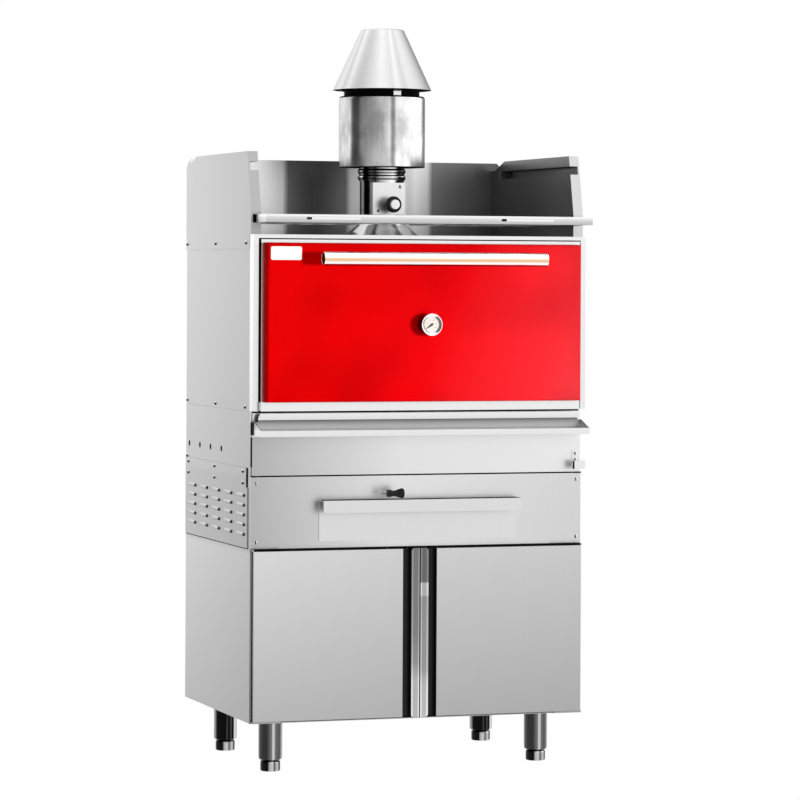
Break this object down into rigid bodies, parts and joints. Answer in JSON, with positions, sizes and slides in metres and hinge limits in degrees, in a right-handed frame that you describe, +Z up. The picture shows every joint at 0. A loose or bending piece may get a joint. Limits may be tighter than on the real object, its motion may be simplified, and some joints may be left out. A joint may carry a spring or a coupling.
{
  "type": "charcoal oven",
  "caption": "Free-standing charcoal oven on a cabinet stand, with a drop-down red door, ash drawer, ledge tray, top guard with pull-out shelf, and a chimney with spark arrestor and cone cap.",
  "frame": {"origin": "on the floor, under the middle of the whole oven's box", "axes": "+Z up, -Y towards the person in front of the oven, +X to that person's right"},
  "size_m": [0.8636, 0.731, 1.824],
  "materials": {
    "stainless": "brushed stainless sheet",
    "aluminium": "satin",
    "chrome": "polished",
    "red_enamel": "high gloss enamel",
    "black_plastic": "satin moulded",
    "cast_iron": "as cast",
    "blanket": "mineral fibre",
    "seal": "woven rope",
    "white": "satin",
    "dial": "printed scale",
    "glass": "clear"
  },
  "bodies": {
    "root": {"back_panel": "stainless", "base_cabinet": "stainless", "chamber_liner": "stainless", "charcoal_grate": "cast_iron", "cone_cap": "stainless", "damper_box": "stainless", "deck": "stainless", "door_frame": "stainless", "door_hinge_left": "stainless", "door_hinge_right": "stainless", "door_seal": "seal", "firebox_side_left": "stainless", "firebox_side_right": "stainless", "flue_cone": "stainless", "flue_pipe": "stainless", "grill_grate": "cast_iron", "insulation_blanket": "blanket", "ledge_tray": "stainless", "leg_back_left": "stainless", "leg_back_right": "stainless", "leg_front_left": "stainless", "leg_front_right": "stainless", "louvre_plate_left": "stainless", "louvre_plate_right": "stainless", "oven_side_left": "stainless", "oven_side_right": "stainless", "spark_arrestor": "stainless", "surround_back": "stainless", "surround_left": "stainless", "surround_right": "stainless", "vent_casing": "stainless", "vent_front_panel": "stainless"},
    "oven_door": {"door_pan": "stainless", "door_red_panel": "red_enamel", "door_insulation": "blanket", "handle_tube": "stainless", "blank_plate": "white", "thermometer_case": "stainless", "thermometer_dial": "dial", "thermometer_glass": "glass"},
    "thermometer_needle": {"thermometer_needle": "black_plastic"},
    "cabinet_door_left": {"cabinet_door_left": "stainless", "grip_channel_left": "black_plastic", "grip_strip_left": "aluminium"},
    "cabinet_door_right": {"cabinet_door_right": "stainless", "grip_channel_right": "black_plastic", "grip_strip_right": "aluminium"},
    "ash_drawer": {"ash_drawer_front": "stainless", "ash_pan": "stainless"},
    "air_lever": {"air_lever": "stainless", "air_lever_knob": "black_plastic"},
    "firebox_flap": {"firebox_flap": "stainless"},
    "turn_catch": {"turn_catch": "stainless"},
    "top_shelf": {"top_shelf": "stainless"},
    "flue_damper": {"damper_plate": "stainless", "damper_knob": "black_plastic"},
    "foot_front_left": {"foot_front_left": "chrome"},
    "foot_front_right": {"foot_front_right": "chrome"},
    "foot_back_left": {"foot_back_left": "chrome"},
    "foot_back_right": {"foot_back_right": "chrome"}
  },
  "joints": [
    {"name": "oven_door", "type": "hinge", "parent": "root", "child": "oven_door", "pos_m": [0, -0.2485, 0.886], "axis": [1, 0, 0], "range_deg": [0, 90]},
    {"name": "thermometer_needle", "type": "hinge", "parent": "oven_door", "child": "thermometer_needle", "pos_m": [0, -0.3165, 1.088], "axis": [0, 1, 0], "range_deg": [0, 250]},
    {"name": "cabinet_door_left", "type": "hinge", "parent": "root", "child": "cabinet_door_left", "pos_m": [-0.413, -0.233, 0.337], "axis": [0, 0, -1], "range_deg": [0, 110]},
    {"name": "cabinet_door_right", "type": "hinge", "parent": "root", "child": "cabinet_door_right", "pos_m": [0.413, -0.233, 0.337], "axis": [0, 0, 1], "range_deg": [0, 110]},
    {"name": "ash_drawer", "type": "slide", "parent": "root", "child": "ash_drawer", "axis": [0, -1, 0], "range_m": [0, 0.38]},
    {"name": "air_lever", "type": "hinge", "parent": "root", "child": "air_lever", "pos_m": [-0.09, -0.2245, 0.6795], "axis": [0, -1, 0], "range_deg": [0, 90]},
    {"name": "firebox_flap", "type": "hinge", "parent": "root", "child": "firebox_flap", "pos_m": [-0.4185, -0.2225, 0.77], "axis": [0, 0, -1], "range_deg": [0, 95]},
    {"name": "turn_catch", "type": "hinge", "parent": "firebox_flap", "child": "turn_catch", "pos_m": [0.409, -0.2278, 0.7415], "axis": [0, -1, 0], "range_deg": [0, 90]},
    {"name": "top_shelf", "type": "slide", "parent": "root", "child": "top_shelf", "axis": [0, -1, 0], "range_m": [0, 0.25]},
    {"name": "flue_damper", "type": "hinge", "parent": "root", "child": "flue_damper", "pos_m": [0, 0.0705, 1.3835], "axis": [0, -1, 0], "range_deg": [0, 90]},
    {"name": "foot_front_left", "type": "slide", "parent": "root", "child": "foot_front_left", "axis": [0, 0, -1], "range_m": [0, 0.02]},
    {"name": "foot_front_right", "type": "slide", "parent": "root", "child": "foot_front_right", "axis": [0, 0, -1], "range_m": [0, 0.02]},
    {"name": "foot_back_left", "type": "slide", "parent": "root", "child": "foot_back_left", "axis": [0, 0, -1], "range_m": [0, 0.02]},
    {"name": "foot_back_right", "type": "slide", "parent": "root", "child": "foot_back_right", "axis": [0, 0, -1], "range_m": [0, 0.02]}
  ]
}
